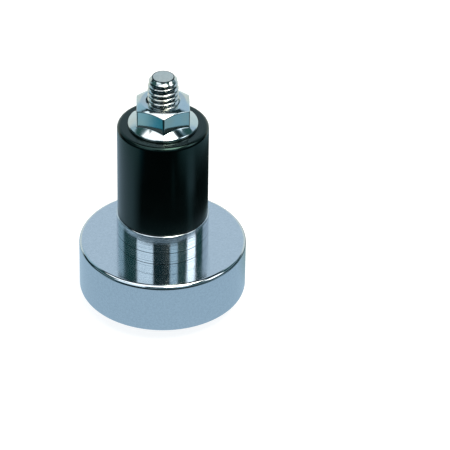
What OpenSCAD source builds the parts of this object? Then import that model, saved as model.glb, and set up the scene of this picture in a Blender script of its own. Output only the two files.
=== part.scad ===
// Expanding bar end for a handlebar: a turned chrome weight, a rubber sleeve, a
// countersunk socket screw and a flange nut. Turning the screw draws the nut
// towards the weight, and the squeezed sleeve swells and grips the bar's bore.
// Millimetres. Z = 0 is the flat land round the screw's recess, on which the part
// stands, and +Z runs along the screw towards the inside of the bar.

/* [Bar] */
// Bore of the handlebar that the sleeve and the spigot slide into
bar_bore = 18; // [16:0.1:20]
// Play of the spigot in that bore, on the diameter
spigot_play = 0.1; // [0.05:0.05:0.4]
// Play of the slack rubber sleeve in that bore, on the diameter
sleeve_play = 0.5; // [0.2:0.05:1]

/* [Weight] */
// Diameter of the weight's disc
weight_d = 32.5; // [28:0.5:40]
// Height of the disc's straight side, its rounded edges included
rim_h = 10.4; // [6:0.2:16]
// Depth of the conical outer face, from the side down to the flat land
cone_h = 3.3; // [1.5:0.1:5]
// Width of the flat land between the cone and the screw's recess
land_w = 1.4; // [0.6:0.1:2.5]
// Radius of the disc's edge at its flat back
rim_edge_r = 0.8; // [0.2:0.05:1.2]
// Radius of the disc's edge at its conical face
rim_foot_r = 0.55; // [0.2:0.05:1]
// Length of the spigot that centres the weight in the bar
spigot_len = 6.4; // [4:0.2:10]
// Chamfer round the spigot's end
spigot_chamfer = 0.25; // [0.1:0.05:1]
// Play of the screw in the weight's bore, on the diameter
weight_play = 0.4; // [0.2:0.1:1]

/* [Rubber sleeve] */
// Length of the slack sleeve
sleeve_len = 20; // [12:0.5:32]
// Radius of the sleeve's edge at the nut
sleeve_edge_r = 0.8; // [0.3:0.1:1.5]
// Radius of the sleeve's edge at the spigot
sleeve_foot_r = 0.3; // [0.1:0.1:1]
// Play of the screw in the sleeve's bore, on the diameter
sleeve_bore_play = 0.5; // [0.3:0.1:1.2]

/* [Screw] */
// Nominal diameter of the screw's thread
thread_d = 6; // [5:1:6]
// Amount by which the thread's crests lie under the nominal diameter
thread_under = 0.1; // [0.04:0.02:0.2]
// Length of thread that stands past the nut
thread_proud = 5.2; // [2:0.05:10]
// Height and inset of the chamfer at the screw's tip
tip_chamfer = 0.65; // [0.4:0.05:1.2]
// Length over which the rolled thread fades towards the tip
lead_len = 2; // [0.5:0.25:3]
// Amount by which the crests shrink over that length, on the radius
lead_under = 0.3; // [0.05:0.05:0.5]
// Diameter of the countersunk head
head_d = 11.7; // [10:0.1:12.5]
// Height of the head's straight rim, above its 90 degree cone
head_rim = 0.2; // [0.1:0.05:0.5]
// Depth at which the head's face lies below the flat land
head_recess = 1.05; // [0.4:0.05:2]
// Gap between the head's cone and the countersink, square to the cone
seat_gap = 0.03; // [0.02:0.01:0.08]
// Size of the hex socket across its flats
socket_af = 4; // [3:0.5:4.5]
// Depth of the hex socket's flats
socket_depth = 2.4; // [1.5:0.1:3]
// Chamfer at the mouth of the socket, beyond its corners
socket_chamfer = 0.15; // [0.05:0.05:0.4]

/* [Flange nut] */
// Size of the nut across its flats
nut_af = 10; // [9:0.5:11]
// Height of the nut, flange included
nut_h = 5.4; // [4:0.1:8]
// Diameter of the nut's flange
flange_d = 13.4; // [12.8:0.1:15]
// Height of the flange's straight edge
flange_edge = 0.5; // [0.3:0.1:1]
// Slope of the flange's upper face
flange_slope = 33; // [20:1:40]
// Height of the chamfer at the nut's upper corners
nut_chamfer = 0.8; // [0.3:0.05:1.2]
// Distance from the flats to the edge of the nut's round top face
nut_face_inset = 0.8; // [0.1:0.1:1.2]
// Depth of the countersinks at both ends of the nut's thread
nut_sink = 0.3; // [0.2:0.1:0.8]
// Gap between the screw's crests and the nut's bore, on the radius
thread_gap = 0.05; // [0.02:0.01:0.1]
// Turn of the nut about the screw: 30 puts a corner at the very front
nut_turn = 31; // [0:1:59]

/* [Hidden] */
$fn = 96;

// Overlap that lets a cut run clear of the surface that it opens
cut = 0.5;
// Flat steps in each rounded edge
edge_steps = 6;

// Radii
weight_r = weight_d / 2;
spigot_r = (bar_bore - spigot_play) / 2;
sleeve_r = (bar_bore - sleeve_play) / 2;
crest_r = (thread_d - thread_under) / 2;
weight_bore_r = (thread_d + weight_play) / 2;
sleeve_bore_r = (thread_d + sleeve_bore_play) / 2;
nut_bore_r = crest_r + thread_gap;
head_r = head_d / 2;

// The countersink follows the head's 90 degree cone at the seat gap
sink_r = head_r + head_recess + head_rim + seat_gap * sqrt(2);
land_r = sink_r + land_w;

// Heights along the screw, from the flat land up
disc_top = cone_h + rim_h;
spigot_top = disc_top + spigot_len;
sleeve_top = spigot_top + sleeve_len;
nut_top = sleeve_top + nut_h;
screw_tip = nut_top + thread_proud;
cone_end = head_recess + head_rim + head_r - crest_r;

// Slope of the weight's conical face, and where its rounded edge meets it
cone_tilt = atan2(cone_h, weight_r - land_r);
edge_foot = rim_foot_r * tan((90 - cone_tilt) / 2);

// Corner radii of the hexagons, and the rise from flats to corners on the nut
socket_corner_r = socket_af / 2 / cos(30);
nut_corner_r = nut_af / 2 / cos(30);
flange_rise = (flange_d - nut_af) / 2 * tan(flange_slope);
nut_face_r = nut_af / 2 - nut_face_inset;

// Points on an arc of radius r about [x, y], from angle a0 to angle a1
function arc(x, y, r, a0, a1) = [
    for (i = [0:edge_steps])
        let (a = a0 + (a1 - a0) * i / edge_steps)
            [x + r * cos(a), y + r * sin(a)]
];

// Half section of the weight: bore, countersink, cone, rounded rim, flat back, spigot
module weight_section() {
    polygon(concat(
        [[weight_bore_r, sink_r - weight_bore_r], [sink_r, 0], [land_r, 0]],
        arc(weight_r - rim_foot_r, cone_h + edge_foot, rim_foot_r, cone_tilt - 90, 0),
        arc(weight_r - rim_edge_r, disc_top - rim_edge_r, rim_edge_r, 0, 90),
        [
            [spigot_r, disc_top],
            [spigot_r, spigot_top - spigot_chamfer],
            [spigot_r - spigot_chamfer, spigot_top],
            [weight_bore_r, spigot_top]
        ]
    ));
}

// Disc and spigot, turned from one bar
module weight() {
    color("lightsteelblue")
        rotate_extrude()
            weight_section();
}

// Rubber tube with rounded ends, squeezed between the spigot and the nut
module rubber_sleeve() {
    color([0.06, 0.07, 0.07])
        rotate_extrude()
            polygon(concat(
                [[sleeve_bore_r, spigot_top]],
                arc(sleeve_r - sleeve_foot_r, spigot_top + sleeve_foot_r, sleeve_foot_r, -90, 0),
                arc(sleeve_r - sleeve_edge_r, sleeve_top - sleeve_edge_r, sleeve_edge_r, 0, 90),
                [[sleeve_bore_r, sleeve_top]]
            ));
}

// Hex socket cut from the head's face, with its chamfered mouth and drill point
module hex_socket() {
    mouth_r = socket_corner_r + socket_chamfer;
    translate([0, 0, head_recess - cut])
        cylinder(h = socket_depth + cut, r = socket_corner_r, $fn = 6);
    translate([0, 0, head_recess])
        cylinder(h = socket_corner_r, r1 = mouth_r, r2 = mouth_r - socket_corner_r);
    translate([0, 0, head_recess - cut])
        cylinder(h = cut, r = mouth_r);
    translate([0, 0, head_recess + socket_depth])
        cylinder(h = socket_af / 2 * tan(30), r1 = socket_af / 2, r2 = 0);
}

// Countersunk screw, with its thread drawn as a plain cylinder over the crests
module screw() {
    color("silver")
        difference() {
            rotate_extrude()
                polygon([
                    [0, head_recess],
                    [head_r, head_recess],
                    [head_r, head_recess + head_rim],
                    [crest_r, cone_end],
                    [crest_r, screw_tip - tip_chamfer - lead_len],
                    [crest_r - lead_under, screw_tip - tip_chamfer],
                    [crest_r - lead_under - tip_chamfer, screw_tip],
                    [0, screw_tip]
                ]);
            hex_socket();
        }
}

// Hexagon whose upper corners are turned to a chamfer
module nut_hexagon() {
    chamfer_slope = nut_chamfer / (nut_corner_r - nut_face_r);
    intersection() {
        rotate([0, 0, nut_turn])
            translate([0, 0, sleeve_top])
                cylinder(h = nut_h, r = nut_corner_r, $fn = 6);
        rotate_extrude()
            polygon([
                [0, sleeve_top],
                [flange_d, sleeve_top],
                [flange_d, nut_top - (flange_d - nut_face_r) * chamfer_slope],
                [nut_face_r, nut_top],
                [0, nut_top]
            ]);
    }
}

// Nut with a conical flange, forged as one piece
module flange_nut() {
    color("gainsboro")
        difference() {
            union() {
                nut_hexagon();
                rotate_extrude()
                    polygon([
                        [0, sleeve_top],
                        [flange_d / 2, sleeve_top],
                        [flange_d / 2, sleeve_top + flange_edge],
                        [nut_af / 2, sleeve_top + flange_edge + flange_rise],
                        [0, sleeve_top + flange_edge + flange_rise]
                    ]);
            }
            translate([0, 0, sleeve_top - cut])
                cylinder(h = nut_h + 2 * cut, r = nut_bore_r);
            translate([0, 0, sleeve_top - cut])
                cylinder(h = nut_sink + cut, r1 = nut_bore_r + nut_sink + cut, r2 = nut_bore_r);
            translate([0, 0, nut_top - nut_sink])
                cylinder(h = nut_sink + cut, r1 = nut_bore_r, r2 = nut_bore_r + nut_sink + cut);
        }
}

weight();
rubber_sleeve();
screw();
flange_nut();
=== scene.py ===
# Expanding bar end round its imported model: a chromed weight with a spigot, a rubber
# sleeve, a countersunk socket screw and a flange nut, standing on a pale studio floor.
# Sizes in the dictionaries are millimetres, and Blender's own units are metres.
import math

import bmesh
import bpy
from mathutils import Matrix, Quaternion, Vector


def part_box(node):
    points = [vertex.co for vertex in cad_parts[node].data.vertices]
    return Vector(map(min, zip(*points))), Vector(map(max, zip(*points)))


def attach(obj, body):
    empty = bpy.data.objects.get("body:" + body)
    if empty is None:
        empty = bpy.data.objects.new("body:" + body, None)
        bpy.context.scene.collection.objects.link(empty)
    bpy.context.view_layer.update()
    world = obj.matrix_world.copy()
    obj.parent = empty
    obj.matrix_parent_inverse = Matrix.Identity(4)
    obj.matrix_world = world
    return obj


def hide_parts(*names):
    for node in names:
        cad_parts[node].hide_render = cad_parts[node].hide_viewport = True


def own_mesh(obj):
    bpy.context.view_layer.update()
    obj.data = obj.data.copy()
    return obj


mm = 0.001
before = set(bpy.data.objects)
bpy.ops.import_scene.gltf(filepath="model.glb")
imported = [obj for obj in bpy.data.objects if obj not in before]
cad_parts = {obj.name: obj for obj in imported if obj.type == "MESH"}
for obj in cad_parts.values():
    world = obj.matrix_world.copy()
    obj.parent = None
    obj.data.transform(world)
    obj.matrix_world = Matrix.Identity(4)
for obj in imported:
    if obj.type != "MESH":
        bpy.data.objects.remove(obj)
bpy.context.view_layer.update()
scene = bpy.context.scene
scene.view_settings.view_transform = "Standard"


def boxOf(node):
    # outer radius, foot and top of a CAD node, in millimetres
    low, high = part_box(node)
    return {"radius": high.x / mm, "foot": low.z / mm, "top": high.z / mm}


weightBox = boxOf("weight")
sleeveBox = boxOf("rubber_sleeve")
screwBox = boxOf("screw")
nutBox = boxOf("flange_nut")
print("frame loaded:", ", ".join(sorted(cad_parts)))


# Camera: the photograph's own view, fitted to the outlines of the part
cameraView = {
    "elevation": 33.93,
    "roll": 0.22,
    "distance": 542.35,
    "lookHeight": 30.0,
    "pixelFocal": 2831.0,
    "lookPixel": (162.87, 168.21),
    "imageSide": 450.0,
    "sensor": 36.0,
}


def makeCamera(view):
    data = bpy.data.cameras.new("photoView")
    camera = bpy.data.objects.new("photoView", data)
    scene.collection.objects.link(camera)
    scene.camera = camera
    data.sensor_width = view["sensor"]
    data.lens = view["pixelFocal"] * view["sensor"] / view["imageSide"]
    data.clip_start = 0.01
    data.clip_end = 50
    tilt = math.radians(view["elevation"])
    back = Vector((0, -math.cos(tilt), math.sin(tilt)))
    look = Vector((0, 0, view["lookHeight"] * mm))
    centred = (-back).to_track_quat("-Z", "Y") @ Quaternion((0, 0, 1), math.radians(view["roll"]))
    half = view["imageSide"] / 2
    across = (view["lookPixel"][0] - half) / view["pixelFocal"]
    up = (half - view["lookPixel"][1]) / view["pixelFocal"]
    seen = Vector((across, up, -1)).normalized()  # the part's middle, off the picture's centre
    camera.location = look + back * view["distance"] * mm
    camera.rotation_mode = "QUATERNION"
    camera.rotation_quaternion = centred @ seen.rotation_difference(Vector((0, 0, -1)))


makeCamera(cameraView)
print("camera set")


# Small helpers for node trees
def wire(tree, value, socket):
    # links an output to a socket, or sets the socket where value is a plain number or colour
    if isinstance(value, bpy.types.NodeSocket):
        tree.links.new(value, socket)
    else:
        socket.default_value = value


def calc(tree, operation, first, second=0.0):
    node = tree.nodes.new("ShaderNodeMath")
    node.operation = operation
    wire(tree, first, node.inputs[0])
    wire(tree, second, node.inputs[1])
    return node.outputs[0]


def stretch(tree, value, low, high, newLow=0.0, newHigh=1.0):
    node = tree.nodes.new("ShaderNodeMapRange")
    for socket, setting in zip(node.inputs, (value, low, high, newLow, newHigh)):
        wire(tree, setting, socket)
    return node.outputs[0]


def window(tree, value, low, high, soft):
    rising = stretch(tree, value, low - soft, low + soft)
    falling = stretch(tree, value, high - soft, high + soft, 1.0, 0.0)
    return calc(tree, "MULTIPLY", rising, falling)


def mixColour(tree, share, first, second):
    node = tree.nodes.new("ShaderNodeMix")
    node.data_type = "RGBA"
    wire(tree, share, node.inputs["Factor"])
    wire(tree, first, node.inputs[6])
    wire(tree, second, node.inputs[7])
    return node.outputs[2]


def colourRamp(tree, value, stops):
    node = tree.nodes.new("ShaderNodeValToRGB")
    ramp = node.color_ramp
    ramp.elements[0].position, ramp.elements[0].color = stops[0][0], (*stops[0][1], 1)
    ramp.elements[1].position, ramp.elements[1].color = stops[-1][0], (*stops[-1][1], 1)
    for place, colour in stops[1:-1]:
        ramp.elements.new(place).color = (*colour, 1)
    wire(tree, value, node.inputs[0])
    return node.outputs[0]


def noise(tree, vector=None, w=None, scale=5.0, detail=2.0, roughness=0.5):
    node = tree.nodes.new("ShaderNodeTexNoise")
    if w is not None:
        node.noise_dimensions = "1D"
        wire(tree, w, node.inputs["W"])
    else:
        wire(tree, vector, node.inputs["Vector"])
    node.inputs["Scale"].default_value = scale
    node.inputs["Detail"].default_value = detail
    node.inputs["Roughness"].default_value = roughness
    return node.outputs[0]


def newMaterial(name):
    material = bpy.data.materials.new(name)
    material.use_nodes = True
    shader = material.node_tree.nodes["Principled BSDF"]
    return material, material.node_tree, shader


def bump(tree, shader, height, strength, distance):
    node = tree.nodes.new("ShaderNodeBump")
    node.inputs["Strength"].default_value = strength
    node.inputs["Distance"].default_value = distance
    wire(tree, height, node.inputs["Height"])
    tree.links.new(node.outputs[0], shader.inputs["Normal"])


def objectCoordinates(tree):
    return tree.nodes.new("ShaderNodeTexCoord").outputs["Object"]


def splitPlace(tree):
    split = tree.nodes.new("ShaderNodeSeparateXYZ")
    tree.links.new(objectCoordinates(tree), split.inputs[0])
    return split.outputs


def axisDistance(tree):
    squares = [calc(tree, "POWER", side, 2.0) for side in splitPlace(tree)[:2]]
    return calc(tree, "SQRT", calc(tree, "ADD", *squares))


def turnedPlace(tree):
    # distance from the axis plus height, which runs across every turned surface of the weight
    return calc(tree, "ADD", axisDistance(tree), splitPlace(tree)[2])


# Chrome: scales are noise cells per metre, depths are millimetres
chromeLook = {
    "dull": (0.54, 0.59, 0.63, 1),
    "bright": (0.62, 0.67, 0.71, 1),
    "scratch": (0.16, 0.20, 0.22, 1),
    # colour of the painted shade line at the spigot's foot
    "paintedFootShade": (0.03, 0.05, 0.06, 1),
    "mottleScale": 2600.0,
    "cloudScale": 180.0,
    "markScale": 5000.0,
    "broadMarks": 6,
    "fineShare": 0.6,
    "broadShare": 0.9,
    "markStrength": 0.5,
    "glossSpread": 0.05,
    "grainTurn": 0.25,  # reflections blur across the turning marks
    "scratchScale": 3600.0,
    "scratchCover": (0.36, 0.42),
    # reach above the spigot's foot line over which the painted shade fades out
    "paintedFootShadeReach": (0.05, 0.10),
    "chatterScale": 1500.0,
    "chatterShape": (1, 1, 5),
    "chatterShare": 1.2,
}
spigotFoot = 22.65  # radius plus height of the painted shade line where the spigot meets the disc's back


def spigotMarks(tree, look, place, colour):
    # dark scratches that run round the spigot, and a painted shade line at its foot, in the corner
    # where it meets the disc
    lines = noise(tree, w=place, scale=look["scratchScale"], detail=2.0, roughness=0.7)
    colour = mixColour(tree, stretch(tree, lines, *look["scratchCover"]), look["scratch"], colour)
    low, high = look["paintedFootShadeReach"]
    unshaded = stretch(tree, place, (spigotFoot + low) * mm, (spigotFoot + high) * mm)
    return mixColour(tree, unshaded, look["paintedFootShade"], colour)


def chatterMarks(tree, look, height):
    # short marks that run round the piece and break up the edges of reflections
    drawn = tree.nodes.new("ShaderNodeMapping")
    drawn.inputs["Scale"].default_value = look["chatterShape"]
    tree.links.new(objectCoordinates(tree), drawn.inputs["Vector"])
    chatter = noise(tree, vector=drawn.outputs[0], scale=look["chatterScale"], roughness=0.6)
    return calc(tree, "ADD", height, calc(tree, "MULTIPLY", chatter, look["chatterShare"]))


def chromeFinish(name, look, markDepth, gloss, grain, spigot=False):
    material, tree, shader = newMaterial(name)
    shader.inputs["Metallic"].default_value = 1.0
    place = turnedPlace(tree)
    mottle = noise(tree, vector=objectCoordinates(tree), scale=look["mottleScale"], roughness=0.7)
    colour = mixColour(tree, stretch(tree, mottle, 0.3, 0.7), look["dull"], look["bright"])
    fine = noise(tree, w=place, scale=look["markScale"], detail=3.0, roughness=0.6)
    broad = noise(tree, w=place, scale=look["markScale"] / look["broadMarks"], detail=1.0)
    height = calc(tree, "ADD", calc(tree, "MULTIPLY", fine, look["fineShare"]),
                  calc(tree, "MULTIPLY", broad, look["broadShare"]))
    if spigot:
        colour = spigotMarks(tree, look, place, colour)
        height = chatterMarks(tree, look, height)
    wire(tree, colour, shader.inputs["Base Color"])
    bump(tree, shader, height, look["markStrength"], markDepth * mm)
    shader.inputs["Anisotropic"].default_value = grain
    shader.inputs["Anisotropic Rotation"].default_value = look["grainTurn"]
    tangent = tree.nodes.new("ShaderNodeTangent")
    tangent.direction_type = "RADIAL"
    tangent.axis = "Z"
    tree.links.new(tangent.outputs[0], shader.inputs["Tangent"])
    cloud = noise(tree, vector=objectCoordinates(tree), scale=look["cloudScale"], detail=3.0)
    roughness = stretch(tree, cloud, 0.3, 0.7, gloss, gloss + look["glossSpread"])
    wire(tree, roughness, shader.inputs["Roughness"])
    return material


# Zinc plate and cut steel, each with its own look
threadLook = {
    "colour": (0.56, 0.61, 0.62, 1), "warm": (0.60, 0.61, 0.56, 1), "mottle": 0.2,
    "grain": 900.0, "gloss": 0.10, "spread": 0.08, "bump": 0.2,
    # radii over which the painted shade in the thread's roots fades out
    "paintedRootShadeReach": (2.37, 2.52),
    "unshadedTip": (screwBox["top"] - 0.66, screwBox["top"] - 0.12),
}
cutLook = {
    "colour": (0.50, 0.55, 0.54, 1), "warm": (0.55, 0.57, 0.53, 1), "mottle": 0.6,
    "grain": 2400.0, "gloss": 0.36, "spread": 0.10, "bump": 0.5,
}
nutLook = {
    "colour": (0.47, 0.58, 0.63, 1), "warm": (0.54, 0.57, 0.56, 1), "mottle": 0.25,
    "grain": 700.0, "gloss": 0.06, "spread": 0.06, "bump": 0.10,
}
zincShared = {
    "pale": (0.75, 0.78, 0.78, 1),
    # colour of the painted shade in the thread's roots
    "paintedRootShade": (0.05, 0.07, 0.07, 1),
    "driftScale": 230.0,
    "bumpDepth": 0.01,
    "tipSoft": 0.03,
}


def zincFinish(name, look):
    material, tree, shader = newMaterial(name)
    shader.inputs["Metallic"].default_value = 1.0
    place = objectCoordinates(tree)
    grain = noise(tree, vector=place, scale=look["grain"], detail=4.0, roughness=0.6)
    drift = noise(tree, vector=place, scale=zincShared["driftScale"], detail=1.0)
    colour = mixColour(tree, stretch(tree, drift, 0.4, 0.6), look["colour"], look["warm"])
    palePatches = stretch(tree, grain, 0.3, 0.8, 0.0, look["mottle"])
    colour = mixColour(tree, palePatches, colour, zincShared["pale"])
    if "paintedRootShadeReach" in look:  # painted shade darkens the thread's roots, and the chamfer at the tip is kept free of it
        low, high = look["paintedRootShadeReach"]
        unshaded = stretch(tree, axisDistance(tree), low * mm, high * mm)
        foot, top = look["unshadedTip"]
        height = splitPlace(tree)[2]
        unshadedTip = window(tree, height, foot * mm, top * mm, zincShared["tipSoft"] * mm)
        unshaded = calc(tree, "MAXIMUM", unshaded, unshadedTip)
        colour = mixColour(tree, unshaded, zincShared["paintedRootShade"], colour)
    wire(tree, colour, shader.inputs["Base Color"])
    gloss = look["gloss"]
    roughness = stretch(tree, grain, 0.3, 0.7, gloss, gloss + look["spread"])
    wire(tree, roughness, shader.inputs["Roughness"])
    bump(tree, shader, grain, look["bump"], zincShared["bumpDepth"] * mm)
    return material


# Rubber: almost black, with a greenish sheen
rubberLook = {
    "specular": 0.42,
    "sheen": (0.52, 1.0, 0.91, 1),
    "dark": (0.0001, 0.0003, 0.0003, 1),
    "light": (0.0003, 0.0006, 0.0006, 1),
    "roughness": (0.17, 0.23),
    "cloudScale": 160.0,
    "poreScale": 2500.0,
    "poreStrength": 0.15,
    "poreDepth": 0.01,
}


def rubberFinish(name, look):
    material, tree, shader = newMaterial(name)
    shader.inputs["Specular IOR Level"].default_value = look["specular"]
    shader.inputs["Specular Tint"].default_value = look["sheen"]
    place = objectCoordinates(tree)
    cloud = noise(tree, vector=place, scale=look["cloudScale"], detail=3.0)
    wire(tree, mixColour(tree, cloud, look["dark"], look["light"]), shader.inputs["Base Color"])
    wire(tree, stretch(tree, cloud, 0.3, 0.7, *look["roughness"]), shader.inputs["Roughness"])
    pores = noise(tree, vector=place, scale=look["poreScale"])
    bump(tree, shader, pores, look["poreStrength"], look["poreDepth"] * mm)
    return material


polishedChrome = chromeFinish("polishedChrome", chromeLook, 0.0015, gloss=0.05, grain=0.3)
facedChrome = chromeFinish("facedChrome", chromeLook, 0.006, gloss=0.09, grain=0.8)
turnedChrome = chromeFinish("turnedChrome", chromeLook, 0.009, gloss=0.08, grain=0.8, spigot=True)
zincThread = zincFinish("zincThread", threadLook)
zincCut = zincFinish("zincCut", cutLook)
zincNut = zincFinish("zincNut", nutLook)
blackRubber = rubberFinish("blackRubber", rubberLook)
print("materials made")


# Helpers for turned pieces. Distances are millimetres.
weldDistance = 0.0005
hair = 0.001
sameRing = 0.004
sharpAngle = 32  # degrees


def lathe(points, steps, closed):
    bm = bmesh.new()
    verts = [bm.verts.new((r * mm, 0, z * mm)) for r, z in points]
    edges = [bm.edges.new(pair) for pair in zip(verts, verts[1:])]
    if closed:
        edges.append(bm.edges.new((verts[-1], verts[0])))
    bmesh.ops.spin(bm, geom=verts + edges, cent=(0, 0, 0), axis=(0, 0, 1), dvec=(0, 0, 0),
                   angle=math.tau, steps=steps, use_merge=True, use_normal_flip=False,
                   use_duplicate=False)
    bmesh.ops.remove_doubles(bm, verts=bm.verts, dist=weldDistance * mm)
    bmesh.ops.dissolve_degenerate(bm, dist=weldDistance * mm, edges=bm.edges)
    bmesh.ops.recalc_face_normals(bm, faces=bm.faces)
    return bm


def radiusOf(vert):
    return math.hypot(vert.co.x, vert.co.y) / mm


def onRing(vert, r, z):
    return abs(radiusOf(vert) - r) < sameRing and abs(vert.co.z / mm - z) < sameRing


def roundEdges(bm, edges, width, segments):
    bmesh.ops.bevel(bm, geom=edges, offset=width * mm, offset_type="OFFSET", segments=segments,
                    profile=0.5, affect="EDGES", material=-1, clamp_overlap=True)


def roundRing(bm, r, z, width, segments):
    edges = [e for e in bm.edges if all(onRing(v, r, z) for v in e.verts)]
    roundEdges(bm, edges, width, segments)


def finishPiece(bm, name, material, body, node):
    for face in bm.faces:
        face.smooth = True
    for edge in bm.edges:
        if len(edge.link_faces) == 2 and edge.calc_face_angle(0) > math.radians(sharpAngle):
            edge.smooth = False
    mesh = bpy.data.meshes.new(name)
    bm.to_mesh(mesh)
    bm.free()
    mesh.materials.append(material)
    piece = bpy.data.objects.new(name, mesh)
    scene.collection.objects.link(piece)
    even = piece.modifiers.new("evenNormals", "WEIGHTED_NORMAL")
    even.keep_sharp = True
    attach(piece, body)
    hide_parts(node)
    print(name, "made:", len(mesh.polygons), "faces")
    return piece


# Weight: disc with a conical outer face, countersink, spigot and bore, turned from one bar
weightForm = {
    "steps": 256,
    "coneHeight": 3.3,
    "rimHeight": 10.4,
    "sinkRadius": 7.142,
    "landWidth": 1.4,
    "spigotRadius": 8.95,
    "boreRadius": 3.2,
    "rimRound": 0.8,
    "rimFootRound": 0.55,
    "spigotChamfer": 0.25,
    "sinkRound": 0.08,
    "landRound": 0.10,
}


def makeWeight(form):
    outer, top = weightBox["radius"], weightBox["top"]
    rimFoot = form["coneHeight"]
    back = rimFoot + form["rimHeight"]
    land = form["sinkRadius"] + form["landWidth"]
    bm = lathe([
        (form["boreRadius"], form["sinkRadius"] - form["boreRadius"]),
        (form["sinkRadius"], 0),
        (land, 0),
        (outer, rimFoot),
        (outer, back),
        (form["spigotRadius"], back),
        (form["spigotRadius"], top),
        (form["boreRadius"], top),
    ], form["steps"], closed=True)
    coneTilt = math.atan2(rimFoot, outer - land)
    footRound = form["rimFootRound"] * math.tan((math.pi / 2 - coneTilt) / 2)
    roundRing(bm, outer, rimFoot, footRound, 6)
    roundRing(bm, outer, back, form["rimRound"], 8)
    roundRing(bm, form["spigotRadius"], top, form["spigotChamfer"], 4)
    roundRing(bm, form["sinkRadius"], 0, form["sinkRound"], 3)
    roundRing(bm, land, 0, form["landRound"], 3)
    piece = finishPiece(bm, "chromeWeight", polishedChrome, "weight", "weight")
    piece.data.materials.append(facedChrome)
    piece.data.materials.append(turnedChrome)
    for face in piece.data.polygons:
        reach = math.hypot(face.center.x, face.center.y) / mm
        if face.center.z / mm > back - sameRing and reach < outer - form["rimRound"]:
            face.material_index = 1 if reach > form["spigotRadius"] else 2


# Sleeve: thick rubber tube with a well rounded upper edge
sleeveForm = {"steps": 192, "boreRadius": 3.25, "topRound": 0.8, "footRound": 0.3, "squeezed": 0.9}


def makeSleeve(form):
    outer, foot, top = sleeveBox["radius"], sleeveBox["foot"], sleeveBox["top"]
    bm = lathe([(form["boreRadius"], foot), (outer, foot), (outer, top), (form["boreRadius"], top)],
               form["steps"], closed=True)
    roundRing(bm, outer, top, form["topRound"], 10)
    roundRing(bm, outer, foot, form["footRound"], 5)
    piece = finishPiece(bm, "rubberSleeve", blackRubber, "weight", "rubber_sleeve")
    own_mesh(piece)


# Radius of a hexagon's wall at an angle, for corners at 30 degrees and every 60 from there
def hexRadius(acrossFlats, angle):
    fromFlat = (angle + math.pi / 6) % (math.pi / 3) - math.pi / 6
    return acrossFlats / 2 / math.cos(fromFlat)


def onHexagon(vert, acrossFlats):
    angle = math.atan2(vert.co.y, vert.co.x)
    return abs(radiusOf(vert) - hexRadius(acrossFlats, angle)) < sameRing


# Screw: countersunk head with a hex socket, and a right-hand thread that fades out at the tip
screwForm = {
    "steps": 96,
    "crestRadius": 2.95,
    "rootRadius": 2.36,
    "pitch": 1.0,
    "rowsPerPitch": 24,
    "threadStart": 37.0,
    "threadPhase": 0.25,
    "crestFlat": 0.03,
    "leadLength": 2.0,
    "leadUnder": 0.3,
    "tipChamfer": 0.65,
    "tipRound": 0.11,
    "headRim": 0.2,
    "headRound": 0.12,
    "socket": 4.0,
    "socketDepth": 2.4,
    "socketChamfer": 0.15,
    "wallStart": 0.4,
    "drillInset": 0.04,
}


def threadRadius(form, angle, z):
    # rolled thread: the crests and the roots are rounded
    phase = (z / form["pitch"] - angle / math.tau + form["threadPhase"]) % 1
    fromCrest = max(0.0, abs(phase - 0.5) - form["crestFlat"]) / (0.5 - form["crestFlat"])
    drop = (1 - math.cos(math.pi * fromCrest)) / 2
    return form["crestRadius"] - drop * (form["crestRadius"] - form["rootRadius"])


def tipLimit(form, tip, z):
    # radius that the lead and the chamfer leave at a height
    shoulder = tip - form["tipChamfer"]
    lead = min(1.0, max(0.0, (z - shoulder) / form["leadLength"] + 1)) * form["leadUnder"]
    return form["crestRadius"] - lead - max(0.0, z - shoulder)


def makeScrew(form):
    headR, face, tip = screwBox["radius"], screwBox["foot"], screwBox["top"]
    corner = form["socket"] / 2 / math.cos(math.pi / 6)
    mouth = corner + form["socketChamfer"]
    socketEnd = face + form["socketDepth"]
    drillR = form["socket"] / 2 - form["drillInset"]
    rims = face + form["headRim"]
    crest = form["crestRadius"]
    start = form["threadStart"]
    shoulder = tip - form["tipChamfer"]
    rows = round((shoulder - start) / form["pitch"] * form["rowsPerPitch"])
    tipRows = 3
    threadRows = [(crest, start + (shoulder - start) * i / rows) for i in range(rows + 1)]
    chamferRows = [(crest, shoulder + (tip - shoulder) * i / tipRows) for i in range(1, tipRows)]
    flat = tipLimit(form, tip, tip)
    bm = lathe([
        (0, socketEnd + drillR * math.tan(math.pi / 6)),
        (drillR, socketEnd),
        (corner, socketEnd),
        (corner, face + form["wallStart"]),
        (mouth, face),
        (headR, face),
        (headR, rims),
        (crest, rims + headR - crest),
        *threadRows,
        *chamferRows,
        (flat, tip),
        (0, tip),
    ], form["steps"], closed=False)
    roundRing(bm, headR, face, form["headRound"], 3)
    for vert in bm.verts:
        angle = math.atan2(vert.co.y, vert.co.x)
        r, z = radiusOf(vert), vert.co.z / mm
        if abs(r - corner) < hair and z < socketEnd + hair:  # the socket's wall becomes six flats
            newR = hexRadius(form["socket"], angle)
            newZ = z if z > socketEnd - hair else face + mouth - newR
        elif z > start + hair and r > crest - hair:
            fade = min(1.0, (z - start) / form["pitch"])
            cut = crest - (crest - threadRadius(form, angle, z)) * fade
            newR, newZ = min(cut, tipLimit(form, tip, z)), z
        else:
            continue
        vert.co = Vector((math.cos(angle) * newR, math.sin(angle) * newR, newZ)) * mm
    roundRing(bm, flat, tip, form["tipRound"], 5)
    piece = finishPiece(bm, "socketScrew", zincThread, "screw", "screw")
    piece.data.materials.append(zincCut)
    for polygon in piece.data.polygons:
        if polygon.center.z / mm > tip - hair:
            polygon.material_index = 1


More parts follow.
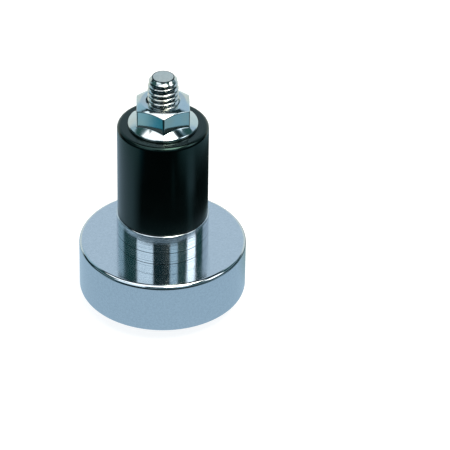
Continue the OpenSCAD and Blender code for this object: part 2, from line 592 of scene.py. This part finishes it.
# Nut: hexagon with a turned chamfer above and a conical flange below
nutForm = {
    "steps": 144,
    "acrossFlats": 10.0,
    "turn": 1.0,
    "flangeEdge": 0.5,
    "flangeSlope": 33.0,
    "chamfer": 0.8,
    "faceInset": 0.8,
    "wallStart": 0.8,
    "boreRadius": 3.0,
    "sink": 0.3,
    "edgeRound": 0.13,
    "flangeTopRound": 0.18,
    "flangeFootRound": 0.20,
    "faceRound": 0.10,
}


def makeNut(form):
    flange, foot, top = nutBox["radius"], nutBox["foot"], nutBox["top"]
    corner = form["acrossFlats"] / 2 / math.cos(math.pi / 6)
    faceR = form["acrossFlats"] / 2 - form["faceInset"]
    rise = math.tan(math.radians(form["flangeSlope"]))
    chamferSlope = form["chamfer"] / (corner - faceR)
    edge = foot + form["flangeEdge"]
    bore, sink = form["boreRadius"], form["sink"]
    wallFoot, wallTop = edge + form["wallStart"], top - form["chamfer"]
    bm = lathe([
        (bore, foot + sink),
        (bore + sink, foot),
        (flange, foot),
        (flange, edge),
        (corner, wallFoot),
        (corner, wallTop),
        (faceR, top),
        (bore + sink, top),
        (bore, top - sink),
    ], form["steps"], closed=True)
    for vert in bm.verts:
        isFoot, isTop = onRing(vert, corner, wallFoot), onRing(vert, corner, wallTop)
        if isFoot or isTop:
            angle = math.atan2(vert.co.y, vert.co.x)
            newR = hexRadius(form["acrossFlats"], angle)
            newZ = edge + (flange - newR) * rise if isFoot else top - (newR - faceR) * chamferSlope
            vert.co = Vector((math.cos(angle) * newR, math.sin(angle) * newR, newZ)) * mm
    upright = [e for e in bm.edges if abs(e.verts[0].co.z - e.verts[1].co.z) > mm]
    walls = [e for e in upright if all(onHexagon(v, form["acrossFlats"]) for v in e.verts)]
    wallEnds = {v for e in walls for v in e.verts}
    rings = [e for e in bm.edges if e not in walls and all(v in wallEnds for v in e.verts)]
    corners = [e for e in walls if abs(radiusOf(e.verts[0]) - corner) < sameRing]
    roundEdges(bm, rings + corners, form["edgeRound"], 4)
    roundRing(bm, flange, edge, form["flangeTopRound"], 4)
    roundRing(bm, flange, foot, form["flangeFootRound"], 4)
    roundRing(bm, faceR, top, form["faceRound"], 3)
    turn = Matrix.Rotation(math.radians(form["turn"]), 3, "Z")
    bmesh.ops.rotate(bm, verts=bm.verts, cent=(0, 0, 0), matrix=turn)
    finishPiece(bm, "flangeNut", zincNut, "nut", "flange_nut")


makeWeight(weightForm)
makeSleeve(sleeveForm)
makeScrew(screwForm)
makeNut(nutForm)


# Studio colours: what the polished surfaces see round them
studio = {
    "backDome": (0.61, 0.754, 0.88),
    "sideDome": (0.45, 0.66, 0.76),
    "horizon": (0.84, 0.93, 0.91),
    "shade": (0.03, 0.10, 0.10),
    "darkest": (0.005, 0.03, 0.035),
    "leftPanel": (1.36, 1.54, 1.66),
    "smallPanel": (0.7, 0.95, 1.1),
    "strip": (3.0, 3.1, 3.2),
    "roof": (0.01, 0.03, 0.035),
    "lowFront": (0.19, 0.29, 0.34),
    "ceiling": (2.0, 2.05, 2.1),
    "lamp": (12.0, 11.3, 9.6),
    "pale": (0.445, 0.61, 0.746),
    "dusk": (0.25, 0.38, 0.40),
    # dark colour painted on the floor, seen only in reflections
    "paintedDark": (0.01, 0.02, 0.02),
    "grey": (0.34, 0.57, 0.62),
    "rightGrey": (0.28, 0.48, 0.55),
    "teal": (0.02, 0.25, 0.36),
    "dim": (0.13, 0.24, 0.28),
}
# Colours round the compass, in degrees: 0 is towards the camera and 90 is to its right
skyBands = [
    (-180, "backDome"), (-150, "backDome"), (-141, "sideDome"), (-119, "sideDome"),
    (-110, "shade"), (-69, "shade"), (-66, "leftPanel"), (-25, "leftPanel"),
    (-23, "darkest"), (18, "darkest"), (20, "smallPanel"), (37, "smallPanel"),
    (39, "shade"), (64, "shade"), (66, "strip"), (89, "strip"),
    (91, "shade"), (117, "shade"), (123, "backDome"), (180, "backDome"),
]
nearFloor = [(-180, "dusk"), (-165, "pale"), (95, "pale"), (125, "dusk"), (180, "dusk")]
lowSleeveFloor = [
    (-180, "dusk"), (-160, "pale"), (-76, "pale"), (-52, "paintedDark"), (58, "paintedDark"),
    (68, "dim"), (78, "paintedDark"), (150, "paintedDark"), (180, "dusk"),
]
highSleeveFloor = [
    (-180, "dusk"), (-160, "pale"), (-76, "pale"), (-52, "paintedDark"), (20, "paintedDark"),
    (24, "dim"), (29, "paintedDark"), (54, "paintedDark"), (64, "pale"), (74, "pale"),
    (86, "paintedDark"), (150, "paintedDark"), (180, "dusk"),
]
farFloor = [
    (-180, "grey"), (-57.4, "grey"), (-55.4, "teal"), (-42, "paintedDark"),
    (30, "paintedDark"), (50, "rightGrey"), (150, "rightGrey"), (180, "grey"),
]
outerFloor = [
    (-180, "horizon"), (-130, "horizon"), (-112, "roof"),
    (112, "roof"), (130, "horizon"), (180, "horizon"),
]

# Panels overhead, by the slope across and along of the rays that reach them
overheadPanels = [
    {"colour": "ceiling", "left": -0.6, "right": 0.55, "front": -0.82, "back": 0.1},
    {"colour": "ceiling", "left": -0.85, "right": -0.5, "front": -0.2, "back": 0.3},
    {"colour": "lamp", "left": 0.05, "right": 0.5, "front": -0.75, "back": 0.0},
]

# Reach of the sky's parts: heights are the ray's rise, and directions are compass degrees
skyReach = {
    "bandsLow": 0.42,
    "bandsHigh": 0.74,
    "overhead": (0.77, 0.80),
    "soft": 0.03,
    "leastRise": 0.1,
    "backFrom": 122,
    "backFull": 130,
    "litFrom": -102,
    "litFull": -96,
    "litRise": (0.16, 0.22),
    "skyline": (0.47, 0.30),
}


def plain(name):
    return (*studio[name], 1)


def compass(tree, x, y):
    return calc(tree, "ARCTAN2", x, calc(tree, "MULTIPLY", y, -1.0))


def compassRamp(tree, direction, stops):
    turn = stretch(tree, direction, -math.pi, math.pi)
    return colourRamp(tree, turn, [((a + 180) / 360, studio[c]) for a, c in stops])


def makeWorld(reach):
    world = bpy.data.worlds.new("studio")
    scene.world = world
    world.use_nodes = True
    tree = world.node_tree
    background = tree.nodes["Background"]
    split = tree.nodes.new("ShaderNodeSeparateXYZ")
    tree.links.new(tree.nodes.new("ShaderNodeTexCoord").outputs["Generated"], split.inputs[0])
    x, y, z = split.outputs
    soft = reach["soft"]
    rise = calc(tree, "MAXIMUM", z, reach["leastRise"])
    across, along = calc(tree, "DIVIDE", x, rise), calc(tree, "DIVIDE", y, rise)
    above = plain("roof")
    for panel in overheadPanels:
        wide = window(tree, across, panel["left"], panel["right"], soft)
        deep = window(tree, along, panel["front"], panel["back"], soft)
        above = mixColour(tree, calc(tree, "MULTIPLY", wide, deep), above, plain(panel["colour"]))
    direction = compass(tree, x, y)
    turned = calc(tree, "ABSOLUTE", direction)
    behind = stretch(tree, turned, math.radians(reach["backFrom"]), math.radians(reach["backFull"]))
    bands = window(tree, z, reach["bandsLow"], reach["bandsHigh"], soft)
    belt = calc(tree, "MAXIMUM", behind, bands)
    side = stretch(tree, direction, math.radians(reach["litFrom"]), math.radians(reach["litFull"]))
    lit = calc(tree, "MULTIPLY", side, stretch(tree, z, *reach["litRise"]))
    under = mixColour(tree, lit, plain("roof"), plain("lowFront"))
    low = mixColour(tree, belt, under, compassRamp(tree, direction, skyBands))
    skyline = calc(tree, "MULTIPLY", behind, stretch(tree, z, *reach["skyline"]))
    low = mixColour(tree, skyline, low, plain("horizon"))
    seen = mixColour(tree, stretch(tree, z, *reach["overhead"]), low, above)
    isCamera = tree.nodes.new("ShaderNodeLightPath").outputs["Is Camera Ray"]
    wire(tree, mixColour(tree, isCamera, seen, (1, 1, 1, 1)), background.inputs["Color"])


# Floor: white for the camera with a faint shadow; for all other rays it glows with painted rings of
# colour, dark patches among them, which paint what the reflections show
floorForm = {
    "halfSide": 2.0,  # metres
    "below": 0.02,
    "rings": [
        (35.5, lowSleeveFloor), (50.0, highSleeveFloor), (62.5, farFloor), (86.0, outerFloor),
    ],
    "soft": 1.5,
    "matt": (0.3, 0.3, 0.3, 1),
    "glow": (0.85, 0.85, 0.85, 1),
}


def makeFloor(form):
    bm = bmesh.new()
    bmesh.ops.create_grid(bm, x_segments=1, y_segments=1, size=form["halfSide"])
    bmesh.ops.translate(bm, verts=bm.verts, vec=(0, 0, -form["below"] * mm))
    mesh = bpy.data.meshes.new("floor")
    bm.to_mesh(mesh)
    bm.free()
    floor = bpy.data.objects.new("floor", mesh)
    scene.collection.objects.link(floor)
    material = bpy.data.materials.new("paleFloor")
    material.use_nodes = True
    tree = material.node_tree
    tree.nodes.remove(tree.nodes["Principled BSDF"])
    direction = compass(tree, *splitPlace(tree)[:2])
    reach = axisDistance(tree)
    rings = compassRamp(tree, direction, nearFloor)
    for start, stops in form["rings"]:
        share = stretch(tree, reach, (start - form["soft"]) * mm, (start + form["soft"]) * mm)
        rings = mixColour(tree, share, rings, compassRamp(tree, direction, stops))
    isCamera = tree.nodes.new("ShaderNodeLightPath").outputs["Is Camera Ray"]
    matt = tree.nodes.new("ShaderNodeBsdfDiffuse")
    glow = tree.nodes.new("ShaderNodeEmission")
    both = tree.nodes.new("ShaderNodeAddShader")
    wire(tree, mixColour(tree, isCamera, (0, 0, 0, 1), form["matt"]), matt.inputs["Color"])
    wire(tree, mixColour(tree, isCamera, rings, form["glow"]), glow.inputs["Color"])
    tree.links.new(matt.outputs[0], both.inputs[0])
    tree.links.new(glow.outputs[0], both.inputs[1])
    clear = tree.nodes.new("ShaderNodeBsdfTransparent")
    oneSided = tree.nodes.new("ShaderNodeMixShader")
    facing = tree.nodes.new("ShaderNodeNewGeometry").outputs["Backfacing"]
    tree.links.new(facing, oneSided.inputs[0])
    tree.links.new(both.outputs[0], oneSided.inputs[1])
    tree.links.new(clear.outputs[0], oneSided.inputs[2])
    tree.links.new(oneSided.outputs[0], tree.nodes["Material Output"].inputs["Surface"])
    mesh.materials.append(material)


makeWorld(skyReach)
makeFloor(floorForm)
print("studio made")
